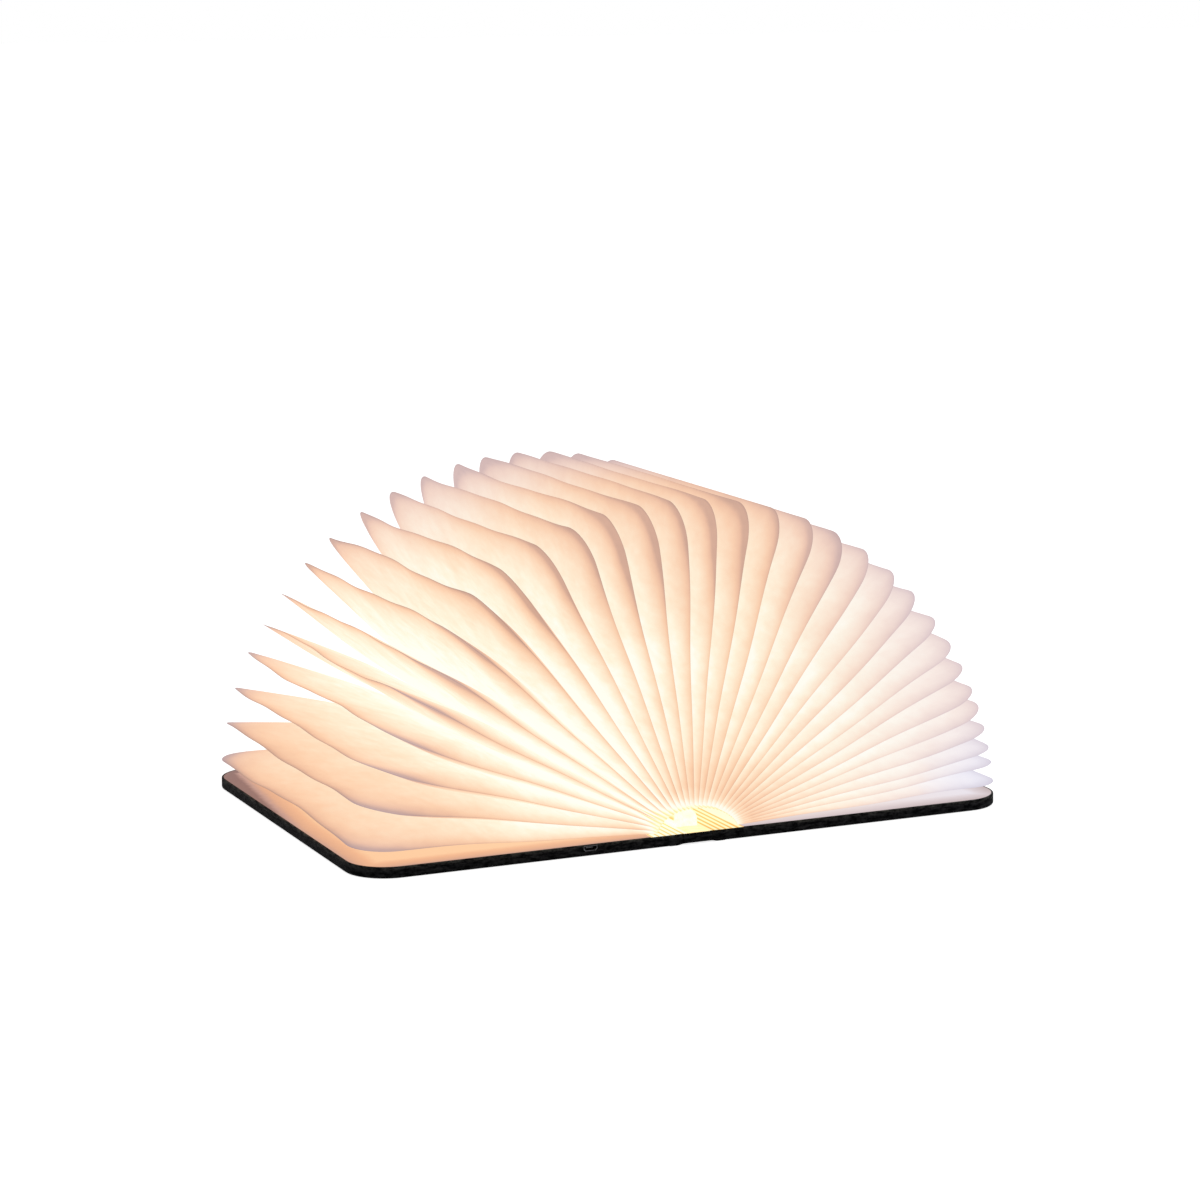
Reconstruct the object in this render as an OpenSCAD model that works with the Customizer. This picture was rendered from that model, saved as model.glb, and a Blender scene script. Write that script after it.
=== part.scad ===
// Folding book lamp, opened flat on a table.
// X runs across the open covers, Y along the spine (front is -Y), Z is up.
// The origin is under the middle of the spine, on the table.

/* [Covers] */
// Height of the covers, measured along the spine
cover_h = 215; // [190:1:240]
// From the middle of the spine to the outer edge of an open cover
half_w = 165; // [160:1:175]
// Thickness of a finished cover
cover_t = 5.2; // [5:0.1:6]
// Radius of a cover's two outer corners
corner_r = 20; // [12:1:28]
// Thickness of the leather under the board
wrap_t = 0.6; // [0.4:0.1:0.8]
// Width of the leather rim that frames an endpaper
rim_w = 1; // [0.8:0.1:1.6]
// Thickness of an endpaper
endpaper_t = 0.3; // [0.2:0.05:0.4]

/* [Spine] */
// From the middle of the spine to each hinge line
hinge_x = 10; // [9.8:0.1:12]
// Running gap between the spine and a cover's round hinge edge
hinge_gap = 0.15; // [0.1:0.05:0.3]
// Height of the spine's underside above the table
spine_lift = 0.6; // [0.3:0.1:0.9]

/* [Pages] */
// Length of a leaf from its root to its fold
leaf_l = 140.2; // [128:0.2:140.2]
// Thickness of a leaf, two plies of paper together
leaf_t = 0.26; // [0.2:0.02:0.3]
// Radius of a leaf's two outer corners
leaf_corner_r = 18; // [12:1:28]
// How far the leaves stay inside the covers' ends
leaf_inset = 1; // [0.5:0.5:4]
// Distance from a middle leaf's pivot to its root
root_mid = 14.6; // [14.4:0.1:14.8]
// Distance from an outermost leaf's pivot to its root
root_end = 11; // [10.6:0.1:12]
// Lift of the first leaf off the left cover, in degrees
first_angle = 3.2; // [3:0.1:4]
// Angle between neighbouring leaves where the fan stands freely
leaf_step = 6.5; // [6.4:0.02:6.52]
// How much each step shrinks where the fan settles on the right cover
settle_step = 0.374; // [0.37:0.002:0.378]
// How far the leaves left of the middle lean toward it, in degrees
lean = 1.5; // [0:0.1:1.8]
// Clearance between the leaves' roots and the band that carries them
band_gap = 0.3; // [0.2:0.05:0.4]
// Thickness of that band
band_t = 0.3; // [0.2:0.05:0.4]

/* [Light bar] */
// Width of the light bar
bar_w = 11; // [10.4:0.2:11.4]
// From a cover's end to the end of the light bar
bar_inset = 12.5; // [6:0.5:18]
// Height of its channel
channel_h = 2.8; // [2.4:0.1:3.4]
// Wall of the channel and its floor
channel_t = 1.1; // [0.9:0.1:1.3]
// Wall of the diffuser
diffuser_t = 0.8; // [0.6:0.1:1]
// Length of one end cap
cap_l = 2; // [1:0.5:4]
// Width of the circuit board under the diodes
led_board_w = 8; // [7:0.2:8.2]
// Thickness of that circuit board
led_board_t = 1; // [0.8:0.1:1.2]
// Number of diodes
led_count = 14; // [10:1:18]
// Length of a diode package along the bar
led_l = 3.5; // [3:0.1:4]
// Width of a diode package
led_w = 2.8; // [2.4:0.1:3.2]
// Height of a diode package
led_h = 0.7; // [0.6:0.1:0.9]
// Radius of a screw's shank
screw_r = 1; // [0.8:0.1:1.2]
// Length of a screw's shank below its head
screw_l = 4; // [3:0.5:4.2]

/* [Electronics] */
// Width of the battery pouch, across the cover
battery_w = 60; // [50:1:64]
// Length of the battery pouch, along the spine
battery_len = 90; // [70:1:110]
// Thickness of the battery pouch
battery_t = 3.2; // [2.6:0.1:3.3]
// From the middle of the spine to the middle of the battery
battery_x = 112; // [105:1:120]
// Control board, across the cover
control_w = 30; // [24:1:34]
// Control board, along the spine
control_l = 34; // [30:1:40]
// Thickness of the control board
control_t = 0.8; // [0.6:0.1:1]
// From the middle of the spine to the middle of the charging port
port_x = 54; // [50:1:60]
// Width of the charging port's shell
port_w = 6.8; // [6.4:0.1:8]
// Height of the charging port's shell
port_h = 2.5; // [2.2:0.1:2.5]
// Depth of the charging port
port_l = 5.6; // [5:0.1:6.5]
// Sheet thickness of the port's shell
port_t = 0.3; // [0.2:0.05:0.35]
// Width of the flat lead between the cover and the light bar
lead_w = 5; // [3:0.5:7]
// Thickness of that lead
lead_t = 0.8; // [0.6:0.1:1]
// Radius of a holding magnet
magnet_r = 5; // [4:0.5:6]
// Thickness of a magnet
magnet_t = 2; // [1.5:0.1:2.5]
// From a cover's outer edge to the middle of its holding magnets
magnet_edge = 14; // [10:1:20]
// From the middle of the cover to each holding magnet, along the spine
magnet_y = 78; // [60:1:85]

/* [Hidden] */
leaf_count = 31;
// The last leaf that turns with the left cover; the others turn with the right one
last_left = 14;
fine = 96;
eps = 0.01;
hinge_z = cover_t / 2;
board_top = cover_t - endpaper_t;
hinge_edge_w = 0.4;
spine_half = hinge_x - cover_t / 2 - hinge_gap;
fit_gap = 0.2;

// Leaf placement
stack_margin = 0.6;
stack_half = hinge_x - cover_t / 2 - stack_margin;
settle_from = 21;
function leaf_name(k) = str("leaf_", k < 10 ? "0" : "", k);
function settled(k) = max(0, k - settle_from);
function sway(k) = k > 6 && k < 16 ? lean * sin(18 * (k - 6)) : 0;
function settle(k) = settle_step * settled(k) * (settled(k) + 1) / 2;
function rest_angle(k) = first_angle + leaf_step * (k - 1) + sway(k) - settle(k);
function across(k) = 2 * (k - 1) / (leaf_count - 1) - 1;
function stack_x(k) = stack_half * across(k);
function pivot_x(k) = stack_x(k) + (hinge_x - stack_half) * (1.5 * across(k) - 0.5 * pow(across(k), 3));
function root_r(k) = root_mid - (root_mid - root_end) * pow(abs(across(k)), 3);
// The outer folds lie flush in the closed book, so a leaf with a nearer root is longer
function leaf_len(k) = leaf_l + root_mid - root_r(k);
// A point on the path of the leaves' roots, moved inward along the leaf
function root_point(k, inward) = [
    pivot_x(k) - cos(rest_angle(k)) * (root_r(k) - inward) + sin(rest_angle(k)) * (stack_x(k) - pivot_x(k)),
    hinge_z + sin(rest_angle(k)) * (root_r(k) - inward) + cos(rest_angle(k)) * (stack_x(k) - pivot_x(k))
];
leaf_h = cover_h - 2 * leaf_inset;

// Light bar placement
bar_floor = cover_t;
channel_in = bar_w / 2 - channel_t;
board_z = bar_floor + channel_t;
dome_r = bar_w / 2;
dome_z = bar_floor + channel_h;
bar_l = cover_h - 2 * bar_inset;
screw_head_r = screw_r * 2;
screw_y = [-0.37, -0.12, 0.12, 0.37] * bar_l;
lead_up_x = -led_board_w / 4;
led_pitch = (bar_l - 2 * cap_l) / (led_count + 1);

// Electronics placement
pocket_floor = wrap_t + 0.9;
battery_z = board_top - 0.2 - battery_t;
control_z = pocket_floor;
port_z = control_z + control_t;
control_y = -cover_h / 2 + rim_w + control_l / 2 + 0.6;
lead_y = control_y + control_l / 4;
sensor_x = port_x + control_w / 2 - 3;
sensor_y = control_y + control_l / 2 - 5.5;
trigger_r = 3;

// One leaf: a folded sheet with two round outer corners and a half-round fold
module leaf_outline(l) {
    r = leaf_corner_r;
    translate([-leaf_h / 2, 0])
        square([leaf_h, l - r]);
    translate([r - leaf_h / 2, 0])
        square([leaf_h - 2 * r, l - leaf_t / 2]);
    for (side = [-1, 1])
        translate([side * (leaf_h / 2 - r), l - r])
            intersection() {
                circle(r, $fn = fine);
                translate([-r, -r])
                    square([2 * r, 2 * r - leaf_t / 2]);
            }
}

module leaf(k) {
    l = leaf_len(k);
    color("#FBE3CC")
        translate([pivot_x(k), 0, hinge_z])
            rotate([0, rest_angle(k) - 90, 0])
                translate([stack_x(k) - pivot_x(k), 0, root_r(k)]) {
                    rotate([90, 0, 90])
                        linear_extrude(leaf_t, center = true)
                            leaf_outline(l);
                    translate([0, 0, l - leaf_t / 2])
                        rotate([90, 0, 0])
                            cylinder(h = leaf_h - 2 * leaf_corner_r, r = leaf_t / 2, center = true, $fn = 16);
                }
}

// The inner folds of the pages, joined into one band over the light bar
module page_band(k_low, k_high) {
    steps = [0 : (k_high - k_low) * 2];
    foot = cover_t + band_gap;
    path_out = [for (i = steps) root_point(k_low + i / 2, band_gap)];
    path_in = [for (i = steps) root_point(k_high - i / 2, band_gap + band_t)];
    foot_low = k_low == 1 ? [[path_in[len(path_in) - 1][0], foot], [path_out[0][0], foot]] : [];
    foot_high = k_high == leaf_count ? [[path_out[len(path_out) - 1][0], foot], [path_in[0][0], foot]] : [];
    color("#FFE9C4")
        translate([0, leaf_h / 2, 0])
            rotate([90, 0, 0])
                linear_extrude(leaf_h)
                    polygon(concat(path_out, foot_high, path_in, foot_low));
}

// Plan of a cover on the right, pulled in from its free edges by inset
module cover_plan(x_from, inset) {
    r = corner_r - inset;
    x_to = half_w - inset;
    y_to = cover_h / 2 - inset;
    translate([x_from, -y_to])
        square([x_to - r - x_from, 2 * y_to]);
    translate([x_from, r - y_to])
        square([x_to - x_from, 2 * (y_to - r)]);
    for (side = [-1, 1])
        translate([x_to - r, side * (y_to - r)])
            circle(r, $fn = fine);
}

// Leather wrap: a tray for the board with a round edge on the hinge line
module cover_wrap() {
    difference() {
        union() {
            linear_extrude(cover_t)
                cover_plan(hinge_x, 0);
            translate([hinge_x, 0, hinge_z])
                rotate([90, 0, 0])
                    cylinder(h = cover_h, r = cover_t / 2, center = true, $fn = fine);
        }
        translate([0, 0, wrap_t])
            linear_extrude(cover_t)
                cover_plan(hinge_x + hinge_edge_w, rim_w);
    }
}

module cover_board() {
    translate([0, 0, wrap_t])
        linear_extrude(board_top - wrap_t)
            cover_plan(hinge_x + hinge_edge_w, rim_w);
}

module cover_endpaper() {
    color("#F6CDB4")
        translate([0, 0, board_top])
            linear_extrude(endpaper_t)
                cover_plan(hinge_x + hinge_edge_w, rim_w);
}

module magnet_places() {
    for (side = [-1, 1])
        translate([half_w - magnet_edge, side * magnet_y, board_top - magnet_t])
            children();
}

module holding_magnets() {
    color("silver")
        magnet_places()
            cylinder(h = magnet_t, r = magnet_r, $fn = 48);
}

module magnet_pockets() {
    magnet_places()
        cylinder(h = magnet_t + eps, r = magnet_r + fit_gap / 2, $fn = 48);
}

// Charging port, a flat trapezoid tube with a contact tongue
module port_profile(grow) {
    w = port_w / 2 + grow;
    h = port_h + 2 * grow;
    cut = port_h * 0.35;
    translate([0, -grow])
        polygon([[cut - w, 0], [w - cut, 0], [w, cut], [w, h], [-w, h], [-w, cut]]);
}

module at_port() {
    translate([-port_x, -cover_h / 2, port_z])
        rotate([90, 0, 180])
            children();
}

module left_wrap() {
    color("#1A1A1C")
        difference() {
            mirror([1, 0, 0])
                cover_wrap();
            at_port()
                translate([0, 0, -eps])
                    linear_extrude(3 * rim_w)
                        port_profile(fit_gap / 2);
            lead_tunnel();
        }
}

module right_wrap() {
    color("#1A1A1C")
        cover_wrap();
}

// Slot for the flat lead through the hinge edge, on the hinge's own axis
module lead_tunnel() {
    translate([-hinge_x - hinge_edge_w - 1, lead_y - lead_w / 2 - fit_gap / 2, hinge_z - lead_t / 2 - fit_gap / 2])
        cube([hinge_edge_w + cover_t, lead_w + fit_gap, lead_t + fit_gap]);
}

module left_board() {
    color("#B8A88E")
        difference() {
            mirror([1, 0, 0])
                cover_board();
            mirror([1, 0, 0])
                magnet_pockets();
            battery_pocket();
            control_pocket();
            lead_slots();
        }
}

module battery_pocket() {
    w = battery_w + 2 * fit_gap;
    l = battery_len + 2 * fit_gap;
    translate([-battery_x - w / 2, -l / 2, battery_z])
        cube([w, l, cover_t]);
}

module control_pocket() {
    w = control_w + 2 * fit_gap;
    y_low = -cover_h / 2 + rim_w - eps;
    translate([-port_x - w / 2, y_low, pocket_floor])
        cube([w, control_y + control_l / 2 + fit_gap - y_low, cover_t]);
}

module lead_slots() {
    x_low = -port_x + control_w / 2;
    translate([x_low - eps, lead_y - lead_w / 2 - fit_gap / 2, hinge_z - lead_t / 2 - fit_gap / 2])
        cube([port_x, lead_w + fit_gap, cover_t]);
    translate([-battery_x - lead_w / 2 - fit_gap / 2, control_y - lead_w / 2 - fit_gap / 2, battery_z])
        cube([lead_w + fit_gap, battery_lead_l() + battery_len / 2, cover_t]);
    translate([-battery_x, control_y - lead_w / 2 - fit_gap / 2, battery_z])
        cube([battery_x - port_x - control_w / 2, lead_w + fit_gap, cover_t]);
}

module left_endpaper() {
    mirror([1, 0, 0])
        cover_endpaper();
}

module right_endpaper() {
    cover_endpaper();
}

module right_board() {
    color("#B8A88E")
        difference() {
            cover_board();
            magnet_pockets();
            trigger_place()
                cylinder(h = magnet_t + eps, r = trigger_r + fit_gap / 2, $fn = 48);
        }
}

module trigger_place() {
    translate([sensor_x, sensor_y, board_top - magnet_t])
        children();
}

module trigger_magnet() {
    color("silver")
        trigger_place()
            cylinder(h = magnet_t, r = trigger_r, $fn = 48);
}

module left_magnets() {
    mirror([1, 0, 0])
        holding_magnets();
}

module right_magnets() {
    holding_magnets();
}

// Spine between the two hinge lines
module spine_wrap() {
    h = board_top - spine_lift;
    color("#1A1A1C")
        difference() {
            translate([-spine_half, -cover_h / 2, spine_lift])
                cube([2 * spine_half, cover_h, h]);
            translate([-spine_half + wrap_t, -cover_h / 2 + rim_w, spine_lift + wrap_t])
                cube([2 * (spine_half - wrap_t), cover_h - 2 * rim_w, h]);
            spine_lead_path(fit_gap / 2);
        }
}

module spine_board() {
    low = spine_lift + wrap_t;
    color("#F4EFE6")
        difference() {
            translate([-spine_half + wrap_t, -cover_h / 2 + rim_w, low])
                cube([2 * (spine_half - wrap_t), cover_h - 2 * rim_w, cover_t - low]);
            screws(0);
            spine_lead_path(fit_gap / 2);
        }
}

// Channel that holds the circuit board and grips the diffuser
module light_bar() {
    l = bar_l - 2 * cap_l;
    color("#E8E6E1")
        difference() {
            translate([-bar_w / 2, -l / 2, bar_floor])
                cube([bar_w, l, channel_h]);
            translate([-channel_in, -l / 2 - eps, board_z])
                cube([2 * channel_in, l + 2 * eps, channel_h]);
            screws(0);
            spine_lead_path(fit_gap / 2);
        }
}

module screws(grow) {
    for (y = screw_y)
        translate([0, y, board_z]) {
            translate([0, 0, -screw_l])
                cylinder(h = screw_l, r = screw_r + grow, $fn = 32);
            translate([0, 0, -screw_head_r / 2])
                cylinder(h = screw_head_r / 2, r1 = screw_r + grow, r2 = screw_head_r + grow, $fn = 32);
        }
}

module bar_screws() {
    color("#8C8C90")
        screws(0);
}

module led_board() {
    l = bar_l - 2 * cap_l - 1;
    color("#F2F2EE")
        translate([-led_board_w / 2, -l / 2, board_z])
            cube([led_board_w, l, led_board_t]);
}

module leds() {
    color("#FFE27A")
        for (i = [0 : led_count - 1])
            translate([0, (i - (led_count - 1) / 2) * led_pitch, board_z + led_board_t]) {
                translate([-led_w / 2, -led_l / 2, 0])
                    cube([led_w, led_l, led_h * 0.8]);
                translate([0, 0, led_h * 0.8])
                    cylinder(h = led_h * 0.2, r = led_w * 0.4, $fn = 24);
            }
}

// Half-round diffuser, seated on the channel's walls
module diffuser() {
    l = bar_l - 2 * cap_l;
    color("#FFF4D6")
        translate([0, 0, dome_z])
            rotate([90, 0, 0])
                difference() {
                    cylinder(h = l, r = dome_r, center = true, $fn = fine);
                    cylinder(h = l + 2, r = dome_r - diffuser_t, center = true, $fn = fine);
                    translate([-bar_w, -2 * dome_r, -l])
                        cube([2 * bar_w, 2 * dome_r, 2 * l]);
                }
}

module bar_end_caps() {
    color("#E8E6E1")
        for (side = [-1, 1])
            translate([0, side * (bar_l - cap_l) / 2, 0])
                rotate([90, 0, 0]) {
                    translate([-bar_w / 2, bar_floor, -cap_l / 2])
                        cube([bar_w, channel_h, cap_l]);
                    intersection() {
                        translate([0, dome_z, 0])
                            cylinder(h = cap_l, r = dome_r, center = true, $fn = fine);
                        translate([-bar_w, dome_z, -cap_l])
                            cube([2 * bar_w, 2 * dome_r, 2 * cap_l]);
                    }
                }
}

// Battery and electronics in the left cover
module battery() {
    r = 1.2;
    color("#9DA3AA")
        translate([-battery_x, 0, battery_z])
            union() {
                translate([r - battery_w / 2, -battery_len / 2, 0])
                    cube([battery_w - 2 * r, battery_len, battery_t]);
                translate([-battery_w / 2, -battery_len / 2, r])
                    cube([battery_w, battery_len, battery_t - 2 * r]);
                for (x = [-1, 1], z = [r, battery_t - r])
                    translate([x * (battery_w / 2 - r), 0, z])
                        rotate([90, 0, 0])
                            cylinder(h = battery_len, r = r, center = true, $fn = 32);
            }
}

module control_board() {
    color("#2E6B3E")
        translate([-port_x - control_w / 2, control_y - control_l / 2, control_z])
            cube([control_w, control_l, control_t]);
    color("#303034")
        for (part = [[-8, 3, 6, 6, 1.4], [3, 6, 5, 5, 1], [-2, -4, 8, 4, 1.2], [6, -3, 3, 4, 1.4]])
            translate([part[0] - port_x, part[1] + control_y, control_z + control_t])
                cube([part[2], part[3], part[4]]);
}

module charge_port() {
    color("#C9CCD0")
        at_port() {
            difference() {
                linear_extrude(port_l)
                    port_profile(0);
                translate([0, 0, -eps])
                    linear_extrude(port_l - port_t)
                        port_profile(-port_t);
            }
            translate([-port_w / 4, port_h * 0.45, port_l / 4])
                cube([port_w / 2, port_h * 0.22, port_l * 3 / 4 - port_t / 2]);
        }
}

module hall_sensor() {
    color("#303034")
        translate([-sensor_x, sensor_y, port_z]) {
            translate([-2, -1.5, 0])
                cube([4, 3, 1.4]);
            for (i = [-1 : 1])
                translate([i * 1.3 - 0.2, 1.5, 0])
                    cube([0.4, 1.6, 0.3]);
        }
}

function battery_lead_l() = -control_y - battery_len / 2;

module battery_lead() {
    t = lead_t;
    x_board = -port_x - control_w / 2 - fit_gap;
    color("#C23B2E") {
        translate([-battery_x - lead_w / 2, control_y - lead_w / 2, battery_z])
            cube([lead_w, battery_lead_l() + lead_w / 2 - fit_gap, t]);
        translate([-battery_x, control_y - lead_w / 2, battery_z])
            cube([x_board + battery_x, lead_w, t]);
    }
}

module cover_lead() {
    x_board = -port_x + control_w / 2 + fit_gap;
    color("#E9DFC8")
        difference() {
            translate([x_board, lead_y - lead_w / 2, hinge_z - lead_t / 2])
                cube([-hinge_x + cover_t / 2 - x_board, lead_w, lead_t]);
            difference() {
                translate([-hinge_x, lead_y - lead_w, 0])
                    cube([cover_t, 2 * lead_w, cover_t]);
                translate([-hinge_x, 0, hinge_z])
                    rotate([90, 0, 0])
                        cylinder(h = cover_h, r = cover_t / 2 - 0.05, center = true, $fn = fine);
            }
        }
}

// Lead in the spine: in from the hinge line, then up to the circuit board
module spine_lead_path(grow) {
    x_low = -spine_half - grow;
    z_low = hinge_z - lead_t / 2;
    translate([x_low, lead_y - lead_w / 2 - grow, z_low - grow])
        cube([lead_up_x + lead_t + grow - x_low, lead_w + 2 * grow, lead_t + 2 * grow]);
    translate([lead_up_x - grow, lead_y - lead_w / 2 - grow, z_low])
        cube([lead_t + 2 * grow, lead_w + 2 * grow, board_z - z_low]);
}

module spine_lead() {
    color("#E9DFC8")
        spine_lead_path(0);
}

for (k = [1:leaf_count])
    leaf(k);
left_wrap();
left_board();
left_endpaper();
right_wrap();
right_board();
right_endpaper();
spine_wrap();
spine_board();
page_band(1, last_left + 0.5);  // left_page_band
page_band(last_left + 0.5, leaf_count);  // right_page_band
light_bar();
bar_screws();
led_board();
leds();
diffuser();
bar_end_caps();
battery();
control_board();
charge_port();
hall_sensor();
battery_lead();
cover_lead();
spine_lead();
left_magnets();
right_magnets();
trigger_magnet();
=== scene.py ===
import bpy
import bmesh
import math
from mathutils import Matrix, Vector


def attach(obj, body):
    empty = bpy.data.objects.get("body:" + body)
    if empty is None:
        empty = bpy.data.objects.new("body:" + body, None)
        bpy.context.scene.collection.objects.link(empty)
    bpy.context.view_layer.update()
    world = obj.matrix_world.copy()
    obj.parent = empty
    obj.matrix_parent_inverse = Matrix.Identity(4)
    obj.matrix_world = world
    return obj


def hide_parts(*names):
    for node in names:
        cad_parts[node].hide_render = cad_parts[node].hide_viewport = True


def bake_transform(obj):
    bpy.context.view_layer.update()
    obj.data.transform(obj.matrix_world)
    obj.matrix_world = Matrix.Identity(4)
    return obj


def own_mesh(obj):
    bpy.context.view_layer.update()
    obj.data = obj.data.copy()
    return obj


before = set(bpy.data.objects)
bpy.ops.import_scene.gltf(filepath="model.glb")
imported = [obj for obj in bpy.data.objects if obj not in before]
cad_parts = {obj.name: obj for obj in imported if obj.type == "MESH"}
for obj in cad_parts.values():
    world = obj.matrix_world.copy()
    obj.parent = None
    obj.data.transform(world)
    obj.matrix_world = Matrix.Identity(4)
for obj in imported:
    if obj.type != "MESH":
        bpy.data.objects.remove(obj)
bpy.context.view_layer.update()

MM = 0.001

# sizes of the solids, in mm
HINGE_X = 10.0
HINGE_Z = 2.6
COVER_T = 5.2
HALF_W = 165.0
HALF_H = 107.5
CORNER_R = 20.0
RIM = 1.0
LEAVES = 31
LAST_LEFT = 14
LEAF_L = 140.2
LEAF_R = 18.0
LEAF_H = 106.5
ROOT_MID = 14.6
ROOT_END = 11.0
STACK_HALF = 6.8
BAND_GAP = 0.3
BAND_T = 0.3
PORT_X = (50.5, 57.5)
PORT_Z = (2.2, 4.88)


def smooth(x):
    """Eases from 0 to 1."""
    x = min(1.0, max(0.0, x))
    return x * x * (3 - 2 * x)


# ---------- finishes ----------
NODES_IN_ROW = 6


def srgb(code):
    """A hex colour as Blender's linear red, green, blue and alpha."""
    linear = []
    for i in (1, 3, 5):
        c = int(code[i:i + 2], 16) / 255.0
        linear.append(c / 12.92 if c <= 0.04045 else ((c + 0.055) / 1.055) ** 2.4)
    return (*linear, 1.0)


def add_node(tree, kind, settings=(), inputs=()):
    """Adds a shader node with its settings, and sets or links its inputs.

    A ramp's setting stops is a list of places and colours. A node among the inputs gives its first output.
    """
    row, column = divmod(len(tree.nodes), NODES_IN_ROW)
    node = tree.nodes.new("ShaderNode" + kind)
    node.location = (250 * column - 900, 300 - 260 * row)
    for key, value in dict(settings).items():
        if key != "stops":
            setattr(node, key, value)
            continue
        bar = node.color_ramp.elements
        while len(bar) < len(value):
            bar.new(0.5)
        for element, (position, code) in zip(bar, value):
            element.position = position
            element.color = srgb(code)
    for key, value in dict(inputs).items():
        if isinstance(value, bpy.types.Node):
            value = value.outputs[0]
        if isinstance(value, bpy.types.NodeSocket):
            tree.links.new(value, node.inputs[key])
        else:
            node.inputs[key].default_value = value
    return node


def grain(tree, size_mm, detail=3.0, stretch=(1.0, 1.0, 1.0)):
    """Uneven spots about size_mm across, drawn out along an axis whose stretch is below 1."""
    coords = add_node(tree, "TexCoord")
    turned = add_node(tree, "Mapping", inputs={"Vector": coords.outputs["Object"], "Scale": stretch})
    return add_node(tree, "TexNoise", inputs={
        "Vector": turned, "Scale": 1000.0 / size_mm, "Detail": detail, "Roughness": 0.6})


def start_finish(name):
    """An empty material and its node tree."""
    mat = bpy.data.materials.new(name)
    mat.use_nodes = True
    mat.node_tree.nodes.clear()
    return mat, mat.node_tree


def end_finish(tree, relief, relief_mm, strength, look):
    """Closes a finish: relief raises the surface by up to relief_mm, and look fills the shader's sockets."""
    bump = add_node(tree, "Bump", inputs={
        "Height": relief, "Distance": relief_mm * MM, "Strength": strength})
    shader = add_node(tree, "BsdfPrincipled", inputs={**look, "Normal": bump})
    add_node(tree, "OutputMaterial", inputs={"Surface": shader})


def lit_paper():
    """Spunbonded paper with the light behind it, which shows the paper's clouds and clumps of fibre.

    Single fibres are finer than 0.1 mm, so clumps of 5 mm are drawn. The attribute glow is the share of light
    that reaches a point, and cool the share of it that is daylight.
    """
    mat, tree = start_finish("translucent spunbonded paper")
    fibre = grain(tree, 5.0, 4.0, (1.0, 0.5, 1.0))
    both = add_node(tree, "Math", {"operation": "ADD"}, {0: fibre, 1: grain(tree, 24.0)})
    mottle = add_node(tree, "Math", {"operation": "MULTIPLY_ADD"}, {0: both, 1: 0.42, 2: 0.58})
    glow = add_node(tree, "Attribute", {"attribute_name": "glow"})
    light = add_node(tree, "Math", {"operation": "MULTIPLY"}, {0: glow.outputs["Fac"], 1: mottle})
    warm = add_node(tree, "ValToRGB", {"stops": [
        (0.0, "#9F7B72"), (0.12, "#CDA18A"), (0.26, "#EDBB9A"), (0.42, "#FACDA9"),
        (0.64, "#FEE2C3"), (0.84, "#FEF4DB"), (1.0, "#FEFDF0")]}, {0: light})
    rosy = add_node(tree, "ValToRGB", {"stops": [
        (0.0, "#B5A5B6"), (0.16, "#D2C4CE"), (0.36, "#E5D8DB"), (0.62, "#F4E9E7"),
        (1.0, "#FDFAF6")]}, {0: light})
    blue = add_node(tree, "ValToRGB", {"stops": [
        (0.0, "#AEA6BC"), (0.2, "#CFCBDB"), (0.5, "#E7E5F1"), (1.0, "#FAF9FC")]}, {0: light})
    cool = add_node(tree, "Attribute", {"attribute_name": "cool"})
    # only what is nearly all daylight turns blue
    coolest = add_node(tree, "Math", {"operation": "MULTIPLY_ADD", "use_clamp": True}, {
        0: cool.outputs["Fac"], 1: 7.0, 2: -6.0})
    inner = add_node(tree, "Mix", {"data_type": "RGBA"}, {0: cool.outputs["Fac"], 6: warm, 7: rosy})
    color = add_node(tree, "Mix", {"data_type": "RGBA"}, {0: coolest, 6: inner.outputs[2], 7: blue})
    rough = add_node(tree, "Math", {"operation": "MULTIPLY_ADD"}, {0: fibre, 1: 0.2, 2: 0.62})
    end_finish(tree, fibre, 0.05, 0.5, {
        "Base Color": srgb("#4A4644"), "Roughness": rough, "Specular IOR Level": 0.12,
        "Emission Color": color.outputs[2], "Emission Strength": 0.94})
    return mat


def leatherette(name, turned_edges):
    """Polyurethane leather embossed with pebbles of about 1 mm, nearly black and dull, with rubbed streaks.

    Where it is turned over a board, the attribute edge pales it, partly as handling does and partly as a
    painted highlight along the top edge.
    """
    mat, tree = start_finish(name)
    coords = add_node(tree, "TexCoord")
    pebble = add_node(tree, "TexVoronoi", inputs={"Vector": coords.outputs["Object"], "Scale": 900.0})
    fine = add_node(tree, "Math", {"operation": "MULTIPLY_ADD"}, {
        0: pebble, 1: 0.8, 2: grain(tree, 0.4)})
    height = add_node(tree, "Math", {"operation": "MULTIPLY_ADD"}, {
        0: grain(tree, 35.0), 1: 0.3, 2: fine})
    rubbed = add_node(tree, "Math", {"operation": "MULTIPLY_ADD"}, {
        0: grain(tree, 1.4, 3.0, (0.3, 0.3, 1.0)), 1: 2.6, 2: -1.58})
    tone = add_node(tree, "Math", {"operation": "MULTIPLY_ADD"}, {0: height, 1: 0.5, 2: rubbed})
    color = add_node(tree, "ValToRGB", {"stops": [(0.0, "#040405"), (1.0, "#2E2E30")]}, {0: tone})
    if turned_edges:
        # painted highlight and wear: the edge attribute mixes in the pale colours
        edge = add_node(tree, "Attribute", {"attribute_name": "edge"})
        pale = add_node(tree, "ValToRGB", {"stops": [(0.0, "#1A1A1C"), (1.0, "#67665F")]}, {0: tone})
        mixed = add_node(tree, "Mix", {"data_type": "RGBA"}, {
            0: edge.outputs["Fac"], 6: color, 7: pale})
        color = mixed.outputs[2]
    rough = add_node(tree, "Math", {"operation": "MULTIPLY_ADD"}, {0: height, 1: 0.2, 2: 0.42})
    end_finish(tree, height, 0.15, 0.6, {
        "Base Color": color, "Roughness": rough, "Specular IOR Level": 0.01})
    return mat


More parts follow.
